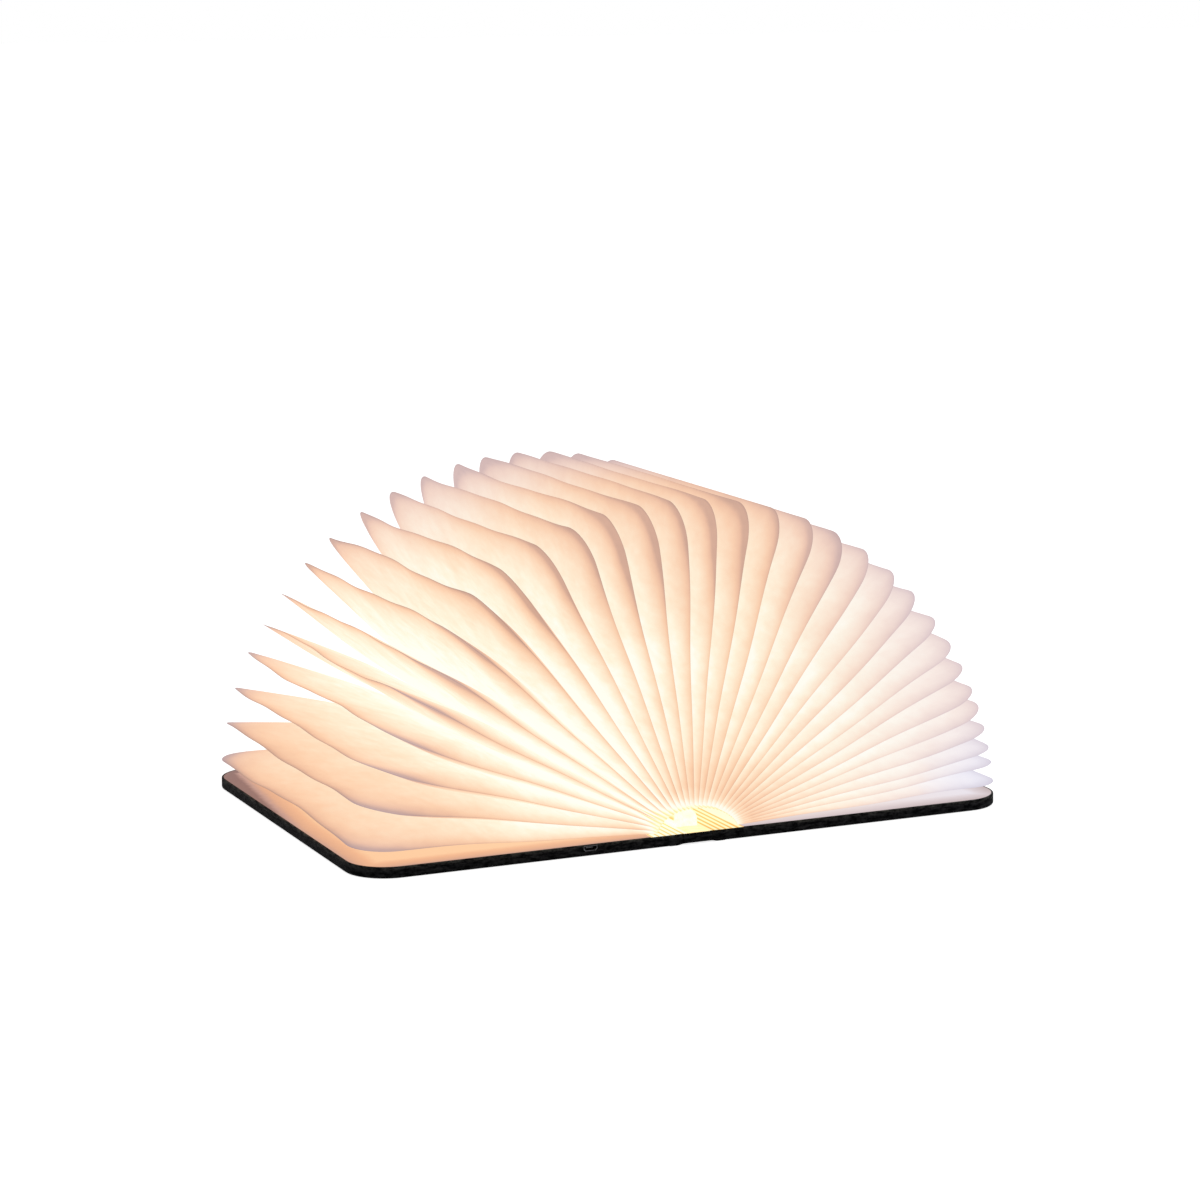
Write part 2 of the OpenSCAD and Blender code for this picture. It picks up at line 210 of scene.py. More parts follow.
def lit_endpaper():
    """Smooth peach paper that the fan shines on, with fine specks.

    It is palest under the leaves, with painted mauve shade near the covers' edges and in the left cover's far
    corner, and painted cooler daylight to the right.
    """
    mat, tree = start_finish("peach endpaper")
    coords = add_node(tree, "TexCoord")
    place = add_node(tree, "SeparateXYZ", inputs={0: coords.outputs["Object"]})
    x, y = place.outputs["X"], place.outputs["Y"]
    across = add_node(tree, "Math", {"operation": "ABSOLUTE"}, {0: x})
    along = add_node(tree, "Math", {"operation": "ABSOLUTE"}, {0: y})
    from_side = add_node(tree, "Math", {"operation": "SUBTRACT"}, {0: HALF_W * MM, 1: across})
    from_end = add_node(tree, "Math", {"operation": "SUBTRACT"}, {0: HALF_H * MM, 1: along})
    # painted shade: darker within about 15 mm of the covers' edges
    near = add_node(tree, "Math", {"operation": "MINIMUM"}, {0: from_side, 1: from_end})
    lit = add_node(tree, "Math", {"operation": "MULTIPLY_ADD"}, {0: near, 1: 60.0, 2: 0.1})
    speck = grain(tree, 3.0)
    lit = add_node(tree, "Math", {"operation": "MULTIPLY_ADD"}, {0: speck, 1: 0.16, 2: lit})
    # painted shade: the left cover's far corner turns mauve
    diagonal = add_node(tree, "Math", {"operation": "SUBTRACT"}, {0: y, 1: x})
    corner = add_node(tree, "Math", {"operation": "ADD", "use_clamp": True}, {0: diagonal, 1: -0.14})
    lit = add_node(tree, "Math", {"operation": "MULTIPLY_ADD"}, {0: corner, 1: -6.0, 2: lit})
    warm = add_node(tree, "ValToRGB", {"stops": [
        (0.0, "#8C6C68"), (0.18, "#C29A8E"), (0.42, "#E3AD8C"), (0.75, "#F5BB92"),
        (1.0, "#FFD0A4")]}, {0: lit})
    rosy = add_node(tree, "ValToRGB", {"stops": [
        (0.0, "#AFA2AA"), (0.18, "#C9BEC6"), (0.42, "#D8CCD0"), (0.75, "#E6DADA"),
        (1.0, "#EFE2DC")]}, {0: lit})
    blue = add_node(tree, "ValToRGB", {"stops": [
        (0.0, "#A0969A"), (0.3, "#C2B4B6"), (0.7, "#DAD0D5"), (1.0, "#EAE7F0")]}, {0: lit})
    # painted cooler daylight: the right cover's colours come in over 50 mm at the spine, and the bluest from
    # 64 to 155 mm beyond it
    right = add_node(tree, "Math", {"operation": "MULTIPLY_ADD", "use_clamp": True}, {
        0: x, 1: 20.0, 2: 0.5})
    outer = add_node(tree, "Math", {"operation": "MULTIPLY_ADD", "use_clamp": True}, {
        0: x, 1: 11.0, 2: -0.7})
    inner = add_node(tree, "Mix", {"data_type": "RGBA"}, {0: right, 6: warm, 7: rosy})
    color = add_node(tree, "Mix", {"data_type": "RGBA"}, {0: outer, 6: inner.outputs[2], 7: blue})
    end_finish(tree, speck, 0.03, 0.6, {
        "Base Color": srgb("#54453E"), "Roughness": 0.7, "Specular IOR Level": 0.15,
        "Emission Color": color.outputs[2], "Emission Strength": 0.88})
    return mat


def lit_folds():
    """The same paper where it is folded round the light: painted light, brightest on the ridges, and painted
    amber shade in the folds.
    """
    mat, tree = start_finish("glowing inner folds of paper")
    fibre = grain(tree, 4.0)
    glow = add_node(tree, "Attribute", {"attribute_name": "glow"})
    light = add_node(tree, "Math", {"operation": "MULTIPLY_ADD"}, {
        0: fibre, 1: 0.16, 2: glow.outputs["Fac"]})
    color = add_node(tree, "ValToRGB", {"stops": [
        (0.1, "#DE9A3E"), (0.4, "#F9CE74"), (0.7, "#FBF0B8"), (1.0, "#FEFCE2")]}, {0: light})
    end_finish(tree, fibre, 0.03, 0.5, {
        "Base Color": srgb("#6A5A42"), "Roughness": 0.8, "Specular IOR Level": 0.1,
        "Emission Color": color, "Emission Strength": 0.96})
    return mat


def lit_ribs(name, pitch_mm, stops, strength):
    """Ribs along the spine, a pitch apart, in low relief and painted light: each bright on its crown, with
    painted amber shade between.
    """
    mat, tree = start_finish(name)
    coords = add_node(tree, "TexCoord")
    place = add_node(tree, "SeparateXYZ", inputs={0: coords.outputs["Object"]})
    stray = grain(tree, 6.0, 2.0, (1.0, 0.1, 1.0))
    across = add_node(tree, "Math", {"operation": "MULTIPLY_ADD"}, {
        0: stray, 1: 1.2 * MM, 2: place.outputs["X"]})
    turn = add_node(tree, "Math", {"operation": "MULTIPLY"}, {
        0: across, 1: 2.0 * math.pi / (pitch_mm * MM)})
    wave = add_node(tree, "Math", {"operation": "SINE"}, {0: turn})
    crown = add_node(tree, "Math", {"operation": "MULTIPLY_ADD"}, {0: wave, 1: 0.5, 2: 0.5})
    color = add_node(tree, "ValToRGB", {"stops": stops}, {0: crown})
    end_finish(tree, crown, 0.12, 0.5, {
        "Base Color": srgb("#6A6150"), "Roughness": 0.5,
        "Emission Color": color, "Emission Strength": strength})
    return mat


def grained(
        name, dark, light, grain_mm, rough, metal=0.0, relief_mm=0.02, stretch=(1.0, 1.0, 1.0), glow=0.0):
    """A finish that varies between two colours, with gloss and relief from the same grain."""
    mat, tree = start_finish(name)
    spots = grain(tree, grain_mm, 3.0, stretch)
    color = add_node(tree, "ValToRGB", {"stops": [(0.3, dark), (0.7, light)]}, {0: spots})
    wear = add_node(tree, "Math", {"operation": "MULTIPLY_ADD"}, {0: spots, 1: 0.24, 2: rough - 0.12})
    look = {"Base Color": color, "Roughness": wear, "Metallic": metal}
    if glow:
        look.update({"Emission Color": color, "Emission Strength": glow})
    end_finish(tree, spots, relief_mm, 1.0, look)
    return mat


PAPER = lit_paper()
FOLDS = lit_folds()
ENDPAPER = lit_endpaper()
LEATHER = leatherette("black grained leatherette", False)
TURNED_LEATHER = leatherette("black grained leatherette with turned edges", True)
PALE_RIBS = [(0.0, "#EBB75E"), (0.16, "#FBE3A2"), (0.45, "#FCF5CC"), (1.0, "#FEFBE4")]
AMBER_RIBS = [(0.0, "#E49A36"), (0.2, "#F8C66A"), (0.5, "#FBE3A0"), (1.0, "#FDF3C4")]
# creased lining paper, nearer the light on the left than on the right
GUTTER = {
    "left": lit_ribs("creased lining paper of the left gutter", 3.1, PALE_RIBS, 0.97),
    "right": lit_ribs("creased lining paper of the right gutter", 3.1, AMBER_RIBS, 0.97),
}
# extruded opal acrylic, whose ribs hide the diodes; the amber between its ribs is painted shade
DIFFUSER = lit_ribs("ribbed opal acrylic", 2.2, PALE_RIBS, 1.0)
# pressed board has coarse pale fibres and no gloss
BOARD = grained("pressed grey board", "#8C806D", "#A89C88", 1.5, 0.85, relief_mm=0.05)
# the lining glows yellow in painted light from the diodes, in which its clouds show faintly
SPINE_BOARD = grained("board lined with white paper", "#F6D795", "#FFE9B8", 4.0, 0.7, glow=0.7)
# anodising leaves faint lines along the extrusion, here lit by the diodes
BAR = grained(
    "white anodised aluminium", "#FBEFC4", "#FEF8DC", 2.0, 0.4, stretch=(1.0, 0.05, 1.0), glow=0.75)
# lacquer that is glossier than paper, clouded by what lies under it
LED_BOARD = grained("white solder mask on aluminium", "#E9E6DD", "#F6F4EE", 1.2, 0.4)
GREEN_BOARD = grained("green solder mask on glass epoxy", "#174A29", "#24663C", 1.0, 0.35)
# yellow phosphor under clear resin
DIODES = grained("lit phosphor of the diodes", "#FFD57E", "#FFF0BE", 1.0, 0.3, glow=3.0)
# resin with a fine matt grain from its mould
CHIP = grained("moulded epoxy", "#141517", "#1F2022", 0.4, 0.5)
# plated and nickelled steel keep a metal's own index and differ in gloss
SCREWS = grained("zinc plated steel", "#77787C", "#A3A4A8", 0.5, 0.3, metal=1.0)
MAGNETS = grained("nickel plate", "#B5B6B9", "#D5D6D8", 3.0, 0.24, metal=1.0)
# the blackening has rubbed thin, so bare steel shimmers through
PORT_SHELL = grained("blackened steel", "#2A2B2E", "#55565A", 0.8, 0.38, metal=0.9)
# the laminated foil of a pouch cell lies in soft dents
POUCH = grained("laminated aluminium foil", "#8E9297", "#B4B8BC", 9.0, 0.35, metal=0.8, relief_mm=0.2)
# both leads are streaked along their length, as they leave the die
RED_LEAD = grained("red silicone insulation", "#94231A", "#B52E22", 2.0, 0.45, stretch=(1.0, 0.2, 1.0))
FLAT_LEAD = grained("polyester ribbon lead", "#D6CAAE", "#EDE4CC", 1.3, 0.5, stretch=(0.1, 1.0, 1.0))

for piece, mat in {
    "spine_wrap": LEATHER,
    "left_board": BOARD, "right_board": BOARD, "spine_board": SPINE_BOARD,
    "left_endpaper": ENDPAPER, "right_endpaper": ENDPAPER,
    "light_bar": BAR, "bar_end_caps": BAR, "diffuser": DIFFUSER,
    "led_board": LED_BOARD, "leds": DIODES, "bar_screws": SCREWS,
    "battery": POUCH, "control_board": GREEN_BOARD, "hall_sensor": CHIP,
    "battery_lead": RED_LEAD, "cover_lead": FLAT_LEAD, "spine_lead": FLAT_LEAD,
    "charge_port": PORT_SHELL, "left_magnets": MAGNETS, "right_magnets": MAGNETS, "trigger_magnet": MAGNETS,
}.items():
    materials = bpy.data.objects[piece].data.materials
    materials.clear()
    materials.append(mat)


# uneven weights, so that no two points of a mesh get the same rank
RANK = Vector((1.0, 1.6180339, 2.4142135))


def finish_piece(name, bm, mat):
    """Makes a mesh shaped in metres into a piece at the origin, its parts listed in order of place."""
    bm.verts.sort(key=lambda vert: vert.co.dot(RANK))
    bm.faces.sort(key=lambda face: face.calc_center_median().dot(RANK))
    mesh = bpy.data.meshes.new(name)
    bm.to_mesh(mesh)
    bm.free()
    mesh.materials.append(mat)
    obj = bpy.data.objects.new(name, mesh)
    bpy.context.scene.collection.objects.link(obj)
    return obj


# ---------- covers ----------
# radius under the outer edge, cuts round a corner, and where the tray's inner wall ends by the hinge
UNDER_R = 0.8
CORNER_CUTS = 12
INNER_X = 10.4
WALL_Z = (1.3, 1.8, PORT_Z[0], 2.6, 3.2, 3.8, 4.4, PORT_Z[1])
# above this height the wall is paler, partly from wear and partly as a painted highlight, more toward its top
WEAR_AND_HIGHLIGHT_Z = 3.2
# the tray's inner floor
TRAY_Z = 0.6


def cover_outline(side, inset, hinge_x):
    """A cover's outline, drawn in from its edge by inset, from the hinge round the two corners."""
    straight = [hinge_x, 20.0, 35.0, PORT_X[0], PORT_X[1], 80.0, 110.0]
    points = [(x, inset - HALF_H) for x in straight]
    radius = CORNER_R - inset
    for turn, centre_y in ((-90.0, CORNER_R - HALF_H), (0.0, HALF_H - CORNER_R)):
        for i in range(CORNER_CUTS + 1):
            a = math.radians(turn + 90.0 * i / CORNER_CUTS)
            points.append((HALF_W - CORNER_R + radius * math.cos(a), centre_y + radius * math.sin(a)))
    points += [(x, HALF_H - inset) for x in reversed(straight)]
    return [(side * x, y) for x, y in points]


def cover_section():
    """The tray's section as insets, heights and paleness, part wear and part painted highlight: up the wall,
    over the turned edge and down inside.
    """
    top_r = COVER_T - PORT_Z[1]
    section = []
    for turn in (0, 22.5, 45, 67.5, 90):
        a = math.radians(turn)
        section.append((UNDER_R * (1 - math.sin(a)), UNDER_R * (1 - math.cos(a)), 0.0))
    # painted highlight and wear: the paleness grows up the wall and is fullest over the turned edge
    section += [(0.0, z, 0.5 * smooth((z - WEAR_AND_HIGHLIGHT_Z) / (COVER_T - WEAR_AND_HIGHLIGHT_Z))) for z in WALL_Z]
    for turn, wear in ((30, 0.35), (60, 1.0), (90, 1.0)):
        a = math.radians(turn)
        section.append((top_r * (1 - math.cos(a)), PORT_Z[1] + top_r * math.sin(a), wear))
    section.append((RIM - 0.02, COVER_T, 0.5))
    section += [(RIM, z, 0.0) for z in reversed(WALL_Z)]
    section.append((RIM, TRAY_Z, 0.0))
    return section


def cover_leather(side, node, body):
    """The leather tray round a board, with turned edges, a half-round hinge edge and the port's opening."""
    rings = []
    for inset, z, wear in cover_section():
        hinge_x = HINGE_X - math.sqrt(max(0.0, HINGE_Z ** 2 - (z - HINGE_Z) ** 2))
        if inset == RIM:
            hinge_x = INNER_X
        rings.append([(x * MM, y * MM, z * MM, wear) for x, y in cover_outline(side, inset, hinge_x)])
    up, around = len(rings) - 1, len(rings[0])
    bm = bmesh.new()
    edge = bm.verts.layers.float.new("edge")
    bmesh.ops.create_grid(bm, x_segments=up, y_segments=around, size=0.5)
    for vert in bm.verts:
        ring = rings[round((vert.co.x + 0.5) * up)]
        *place, vert[edge] = ring[round((vert.co.y + 0.5) * around) % around]
        vert.co = place
    bmesh.ops.remove_doubles(bm, verts=bm.verts, dist=1e-7)
    bmesh.ops.holes_fill(bm, edges=[e for e in bm.edges if e.is_boundary])
    if side < 0:
        opening = []
        for face in bm.faces:
            centre = face.calc_center_median() / MM
            if centre.y < 0 and PORT_X[0] < -centre.x < PORT_X[1] and PORT_Z[0] < centre.z < PORT_Z[1]:
                opening.append(face)
        bmesh.ops.delete(bm, geom=opening, context="FACES")
        bmesh.ops.bridge_loops(bm, edges=[e for e in bm.edges if e.is_boundary])
    bmesh.ops.recalc_face_normals(bm, faces=bm.faces)
    for face in bm.faces:
        face.smooth = abs(face.normal.z) < 0.99 and len(face.verts) == 4
    obj = finish_piece(node.replace("wrap", "cover_leather"), bm, TURNED_LEATHER)
    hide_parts(node)
    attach(obj, body)
    return obj


cover_leather(-1, "left_wrap", "left_cover")
cover_leather(1, "right_wrap", "right_cover")


# where each strip lies, from the cover over the hinge to the spine: x and height
OUTSIDE = [
    (14.0, 0.01), (11.0, 0.01), (10.2, 0.02), (9.6, 0.07), (9.0, 0.18),
    (8.4, 0.33), (7.8, 0.45), (7.0, 0.52), (5.5, 0.55),
]
INSIDE = [
    (23.6, 5.22), (20.0, 5.22), (16.0, 5.22), (12.0, 5.22), (11.0, 5.23),
    (10.2, 5.25), (9.4, 5.27), (8.6, 5.28), (7.8, 5.29), (5.6, 5.29),
]
STRIP_CUTS = 12


def hinge_strip(name, side, path, thick, mat):
    """A strip along the spine that crosses a hinge, curved over it."""
    bm = bmesh.new()
    bmesh.ops.create_grid(bm, x_segments=len(path) - 1, y_segments=STRIP_CUTS, size=0.5)
    for vert in bm.verts:
        x, z = path[round((vert.co.x + 0.5) * (len(path) - 1))]
        vert.co = (side * x * MM, vert.co.y * 2 * (HALF_H - 0.15) * MM, z * MM)
    lifted = bmesh.ops.extrude_face_region(bm, geom=bm.faces[:])["geom"]
    for vert in lifted:
        if isinstance(vert, bmesh.types.BMVert):
            vert.co.z += thick * MM
    bmesh.ops.recalc_face_normals(bm, faces=bm.faces)
    for face in bm.faces:
        face.smooth = abs(face.normal.y) < 0.5 and abs(face.normal.x) < 0.9
    obj = finish_piece(name, bm, mat)
    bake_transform(obj)
    return obj


for side, word in ((-1, "left"), (1, "right")):
    hinge_strip(word + "_hinge_leather", side, OUTSIDE, 0.2, LEATHER)
    hinge_strip(word + "_gutter_lining", side, INSIDE, 0.08, GUTTER[word])


# ---------- the fan ----------
# in degrees: the first leaf's angle, the step to the next, how far the upright leaves lean over to the right,
# and what each step loses to the one before it on the low right leaves
FIRST_ANGLE = 3.2
ANGLE_STEP = 6.5
LEAN_OVER = 1.5
STEP_LOSS = 0.374


def rest_angle(k):
    """How far leaf k stands up from the left cover, in degrees."""
    angle = FIRST_ANGLE + ANGLE_STEP * (k - 1)
    if 6 < k < 16:
        angle += LEAN_OVER * math.sin(math.radians(18 * (k - 6)))
    late = max(0, k - 21)
    return angle - STEP_LOSS * late * (late + 1) / 2


def root_reach(k):
    """How far leaf k's root lies from its hinge."""
    t = 2 * (k - 1) / (LEAVES - 1) - 1
    return ROOT_MID - (ROOT_MID - ROOT_END) * abs(t) ** 3


def leaf_frame(k):
    """A leaf's root and its directions outward and across, all in mm."""
    t = 2 * (k - 1) / (LEAVES - 1) - 1
    stack = STACK_HALF * t
    pivot = stack + (HINGE_X - STACK_HALF) * (1.5 * t - 0.5 * t ** 3)
    a = math.radians(rest_angle(k))
    along = Vector((-math.cos(a), 0, math.sin(a)))
    across = Vector((math.sin(a), 0, math.cos(a)))
    root = Vector((pivot, 0, HINGE_Z)) + along * root_reach(k) + across * (stack - pivot)
    return root, along, across


def faces_cover(k, side):
    """Whether a cover, and not another leaf, lies on that side of leaf k."""
    return k == (1 if side < 0 else LEAVES)


# an outer leaf's ply stands out by up to this many halves of its height over the cover
COVER_SHARE = 1.5


def spacing(k, side, s):
    """Distance from leaf k to what lies on that side of it, across the leaf, at length s from its root."""
    root, along, across = leaf_frame(k)
    point = root + along * s
    if faces_cover(k, side):
        return COVER_SHARE * (point.z - COVER_T) / max(0.2, abs(across.z))
    other, other_along, _ = leaf_frame(k + side)
    rel = point - other
    top = rel.x * other_along.z - rel.z * other_along.x
    low = across.x * other_along.z - across.z * other_along.x
    return abs(top / low)


def soft_min(a, b, power=5.0):
    """The smaller of two lengths, with a rounded change between them."""
    a = max(a, 1e-4)
    b = max(b, 1e-4)
    return (a ** -power + b ** -power) ** (-1.0 / power)


def corner_cut(over):
    """What a leaf's round outer corner takes off, at a point that far along it."""
    return LEAF_R - math.sqrt(max(0.0, LEAF_R ** 2 - min(over, LEAF_R) ** 2)) if over > 0 else 0.0


LONG_CUTS = 38
WIDE_CUTS = 60
# cuts from root to fold, closer together at both ends
ALONG = [0.0, 0.01]
for i in range(LONG_CUTS - 1):
    ALONG.append(0.03 + 0.97 * (1 - (1 - i / (LONG_CUTS - 2)) ** 1.3))
# cuts from side to side, closer together at the sides
WIDE = []
for i in range(WIDE_CUTS + 1):
    inward = min(i, WIDE_CUTS - i) / WIDE_CUTS
    WIDE.append(LEAF_H * ((2 * inward) ** 1.75 - 1) * (1 if i < WIDE_CUTS / 2 else -1))

# the right half of the book can stand closed beside the last left leaf, up to this x
STAND_X = -0.8
# how far the light reaches in from the sides and from the outer fold, in mm
SIDE_REACH = 8.5
FOLD_REACH = 6.5
# an outer ply opens from its fold as if the next leaf stood this many degrees away
COVER_STEP = 5.0
# share of the angle to the next leaf that a ply opens by at its fold
FOLD_SHARE = 0.86
# kept free between the plies of two leaves, on each side, and the least that a ply stands out, in mm
LEAF_GAP = 0.1
LEAST_APART = 0.05
# a ply comes to its full bulge this far in from its side, at the root and as much more at the fold, in mm
CROWN_REACH = 30.0
CROWN_MORE = 12.0


def glow_at(k, s, in_s, in_y):
    """Share of the light that reaches a point: most deep in the fan, least at the folds and corners."""
    deep = 1.14 - 0.44 * smooth((s - 55) / 100)
    rim = 0.27 + 0.27 * smooth(s / 45) * (1 - smooth((s - 60) / 75))
    inward = (1 - math.exp(-in_y / SIDE_REACH)) * (1 - math.exp(-in_s / FOLD_REACH))
    light = rim + (deep - rim) * inward
    # the upright leaves are darkest at their corners, each by its own amount
    upright = (0.7 + 0.3 * math.sin(k * 4.31 + 0.7)) * math.exp(-((k - 13.0) / 6.0) ** 2)
    light -= 0.56 * upright * math.exp(-math.hypot(in_y, in_s * 0.6) / 25.0)
    # the low left leaves are darker, with a line of shade at their edges
    left = 1 - smooth((k - 7) / 4)
    light = max(0.14, light - 0.3 * left * math.exp(-math.hypot(in_y, in_s) / 15.0))
    light *= 1.0 + 0.06 * math.sin(k * 2.17) - 0.34 * smooth((6.5 - k) / 6) * smooth(s / 110)
    light *= 1.0 - (0.3 + 0.3 * left) * math.exp(-in_y / 0.4)
    light *= 1.0 - (0.15 + 0.5 * left) * math.exp(-in_s / (0.6 + 0.7 * left))
    at_root = 0.8 * max(0.0, 1 - s / 8) ** 2
    return min(1.05, light + at_root)


def cool_at(k, place, y, s, in_s, in_y):
    """Share of daylight: most on the low right leaves, some on top of the fan and at the left tips."""
    right = smooth((place.x - 10) / 120) * (0.45 + 0.55 * smooth(s / LEAF_L))
    right *= 1 - 0.17 * smooth((place.z - 10) / 45)
    top = (0.1 + 0.45 * smooth((y + 30) / 110)) * smooth((place.z - 70) / 70) * smooth((k - 4) / 8)
    tip = 0.45 * smooth((9 - k) / 5) * math.exp(-math.hypot(in_y, in_s) / 14.0)
    return max(right, top, tip)


def paper_leaf(k):
    """Two plies that stand apart where there is room, joined at sides and fold and closed at the root."""
    root, along, across = leaf_frame(k)
    length = LEAF_L + ROOT_MID - root_reach(k)
    phase = k * 2.399
    wave = 0.7 + 0.35 * math.sin(k * 1.7)
    bm = bmesh.new()
    glow = bm.verts.layers.float.new("glow")
    cool = bm.verts.layers.float.new("cool")
    for side in (-1, 1):
        step = COVER_STEP
        if not faces_cover(k, side):
            step = abs(rest_angle(k + side) - rest_angle(k))
        fold_slope = math.tan(math.radians(FOLD_SHARE * step))
        ply = bmesh.ops.create_grid(bm, x_segments=LONG_CUTS, y_segments=WIDE_CUTS, size=0.5)["verts"]
        for vert in ply:
            i = round((vert.co.x + 0.5) * LONG_CUTS)
            j = round((vert.co.y + 0.5) * WIDE_CUTS)
            y = WIDE[j]
            full = length - corner_cut(abs(y) - (LEAF_H - LEAF_R))
            s = ALONG[i] * full
            in_s = full - s
            in_y = max(0.0, LEAF_H - corner_cut(s - (length - LEAF_R)) - abs(y))
            out = smooth(s / LEAF_L)
            bend = wave * math.sin(y * 0.045 + phase) * out ** 2
            bend += 0.25 * math.sin(y * 0.13 + 2 * phase) * out ** 3
            bend += 0.7 * math.sin(s * 0.075 + 3 * phase) * out * math.exp(-in_y / 16.0)
            apart = 0.0
            if i < LONG_CUTS and 0 < j < WIDE_CUTS:
                room = spacing(k, side, s) / 2 - LEAF_GAP
                reach = CROWN_REACH + CROWN_MORE * s / LEAF_L
                crown = 1 - (1 - min(1.0, in_y / reach)) ** 2.1
                apart = soft_min(max(room - abs(bend), LEAST_APART) * crown, in_s * fold_slope)
                if k == LAST_LEFT and side > 0:
                    free = (STAND_X - (root + along * s + across * bend).x) / across.x
                    apart = min(apart, max(LEAST_APART, free))
            place = root + along * s + across * (side * apart + bend)
            vert.co = (place.x * MM, y * MM, place.z * MM)
            vert[glow] = glow_at(k, s, in_s, in_y)
            vert[cool] = cool_at(k, place, y, s, in_s, in_y)
        if side > 0:
            bmesh.ops.reverse_faces(bm, faces=list({face for vert in ply for face in vert.link_faces}))
    bmesh.ops.remove_doubles(bm, verts=bm.verts, dist=1e-7)
    for face in bm.faces:
        face.smooth = True
    bmesh.ops.holes_fill(bm, edges=[e for e in bm.edges if e.is_boundary])
    obj = finish_piece("leaf_%02d_plies" % k, bm, PAPER)
    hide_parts("leaf_%02d" % k)
    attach(obj, "leaf_%02d" % k)
    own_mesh(obj)
    return obj


for k in range(1, LEAVES + 1):
    paper_leaf(k)


# ---------- inner folds round the light ----------
FOLD_DEPTH = 0.45
FOLD_CUTS = 30


def fold_line(k, inward):
    """A point of the curve through the roots, moved toward the light. k may lie between two leaves."""
    low = int(math.floor(k))
    high = min(LEAVES, low + 1)
    a, a_along, _ = leaf_frame(low)
    b, b_along, _ = leaf_frame(high)
    return a.lerp(b, k - low) - a_along.lerp(b_along, k - low).normalized() * inward


def inner_folds(name, node, first, last):
    """The pleated sheet that joins the leaves' roots, with a fold between each two leaves."""
    bm = bmesh.new()
    glow = bm.verts.layers.float.new("glow")
    pleats = round((last - first) * 2)
    bmesh.ops.create_grid(bm, x_segments=pleats, y_segments=FOLD_CUTS, size=0.5)
    for vert in bm.verts:
        i = round((vert.co.x + 0.5) * pleats)
        between = (i % 2 == 0) != (first == int(first))
        spot = fold_line(first + i / 2, BAND_GAP + (FOLD_DEPTH if between else 0.0))
        vert.co = (spot.x * MM, vert.co.y * 2 * LEAF_H * MM, spot.z * MM)
        # painted light and shade: every other line across the pleats is dimmer
        vert[glow] = 0.45 if i % 2 else 1.0
    bmesh.ops.solidify(bm, geom=bm.faces[:], thickness=BAND_T * MM)
    if bm.calc_volume(signed=True) < 0:
        bmesh.ops.reverse_faces(bm, faces=bm.faces)
    obj = finish_piece(name, bm, FOLDS)
    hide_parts(node)
    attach(obj, "spine")
    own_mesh(obj)
    return obj


inner_folds("left_inner_folds", "left_page_band", 1, 14.5)
inner_folds("right_inner_folds", "right_page_band", 14.5, LEAVES)


# ---------- stage ----------
def soft_box(name, place, target, side_m, power, color):
    light = bpy.data.lights.new(name, "AREA")
    light.size = side_m
    light.energy = power
    light.color = color
    obj = bpy.data.objects.new(name, light)
    obj.location = place
    obj.rotation_euler = (Vector(target) - Vector(place)).to_track_quat("-Z", "Y").to_euler()
    bpy.context.scene.collection.objects.link(obj)
    return obj


soft_box("soft box above", (0.0, -0.2, 1.9), (0, 0, 0.05), 2.4, 9.0, (1.0, 0.99, 0.98))
soft_box("soft box front", (0.6, -2.0, 0.9), (0, 0, 0.08), 1.4, 5.0, (1.0, 0.99, 0.98))
soft_box("soft box right", (1.7, -0.4, 0.9), (0, 0, 0.08), 1.2, 4.0, (0.93, 0.94, 1.0))


def seen_directly(tree):
    """1 for rays from the eye, and for those that metal and glass send on, else 0."""
    ray = add_node(tree, "LightPath")
    shiny = add_node(tree, "Math", {"operation": "MAXIMUM"}, {
        0: ray.outputs["Is Glossy Ray"], 1: ray.outputs["Is Transmission Ray"]})
    return add_node(tree, "Math", {"operation": "MAXIMUM"}, {
        0: ray.outputs["Is Camera Ray"], 1: shiny})


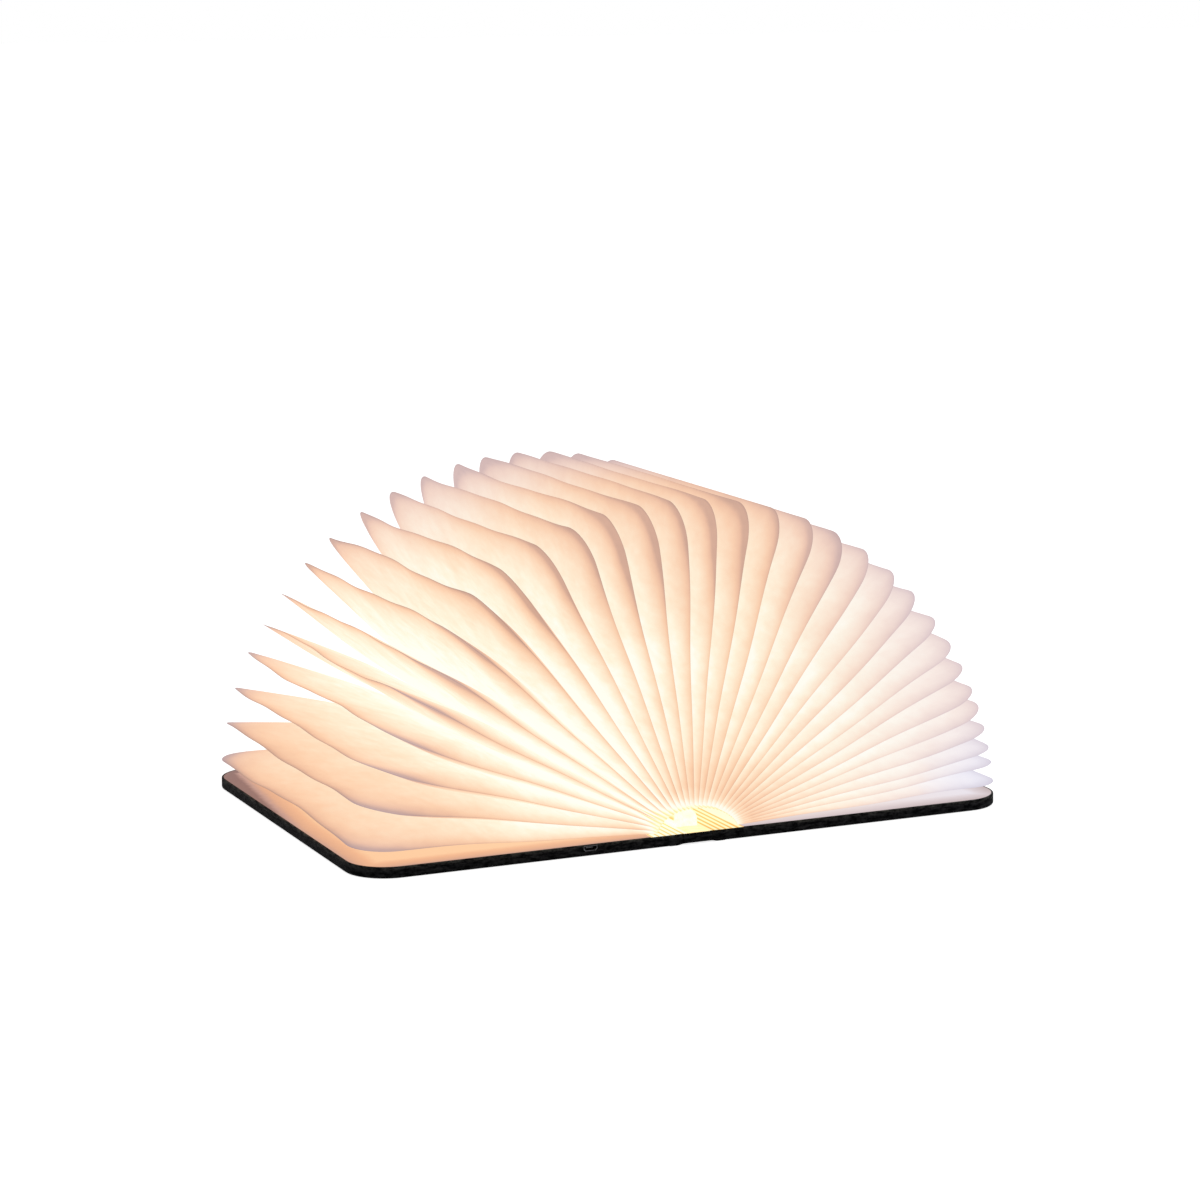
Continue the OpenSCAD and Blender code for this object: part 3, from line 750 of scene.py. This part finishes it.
room = bpy.data.worlds.new("white room")
room.use_nodes = True
tree = room.node_tree
tree.nodes.clear()
fill = add_node(tree, "Background", inputs={"Color": (1, 1, 1, 1), "Strength": 0.4})
white = add_node(tree, "Background", inputs={"Color": (1, 1, 1, 1), "Strength": 1.0})
walls = add_node(tree, "MixShader", inputs={0: seen_directly(tree), 1: fill, 2: white})
add_node(tree, "OutputWorld", inputs={"Surface": walls})
bpy.context.scene.world = room

def white_floor():
    """White paper, lifted to white for the eye alone: it takes the object's shadow and lights nothing."""
    mat, tree = start_finish("white paper floor")
    mottle = grain(tree, 40.0)
    color = add_node(tree, "ValToRGB", {"stops": [(0.3, "#CDCDCD"), (0.7, "#D3D3D3")]}, {0: mottle})
    lift = add_node(tree, "Math", {"operation": "MULTIPLY"}, {0: seen_directly(tree), 1: 0.8})
    end_finish(tree, mottle, 0.02, 1.0, {
        "Base Color": color, "Roughness": 0.9,
        "Emission Color": srgb("#FFFFFF"), "Emission Strength": lift})
    return mat


# the floor lies a hair below the covers, so that neither shows through the other
FLOOR_HALF = 20.0
FLOOR_Z = -0.2 * MM
bm = bmesh.new()
bmesh.ops.create_grid(
    bm, x_segments=1, y_segments=1, size=FLOOR_HALF, matrix=Matrix.Translation((0, 0, FLOOR_Z)))
floor = finish_piece("floor", bm, white_floor())

# the camera: where it stands, how it leans and, in frames of 1200 pixels, how long its lens is
AZIMUTH = math.radians(-23.949)
ELEVATION = math.radians(10.271)
LEAN = math.radians(-0.343)
LENS_PIXELS = 3434.2
FRAME_PIXELS = 1200.0
DISTANCE = 1.6585
TARGET = Vector((-0.00085, 0.0, 0.09618))
SENSOR = 36.0
forward = Vector((
    -math.sin(AZIMUTH) * math.cos(ELEVATION),
    math.cos(AZIMUTH) * math.cos(ELEVATION),
    -math.sin(ELEVATION)))
level = Vector((math.cos(AZIMUTH), math.sin(AZIMUTH), 0))
basis = Matrix((level, level.cross(forward), -forward)).transposed() @ Matrix.Rotation(LEAN, 3, "Z")
lens = bpy.data.cameras.new("camera")
lens.sensor_width = SENSOR
lens.lens = LENS_PIXELS * SENSOR / FRAME_PIXELS
lens.clip_end = 100.0
camera = bpy.data.objects.new("camera", lens)
camera.matrix_world = Matrix.Translation(TARGET - forward * DISTANCE) @ basis.to_4x4()
bpy.context.scene.collection.objects.link(camera)
bpy.context.scene.camera = camera
bpy.context.scene.view_settings.view_transform = "Standard"
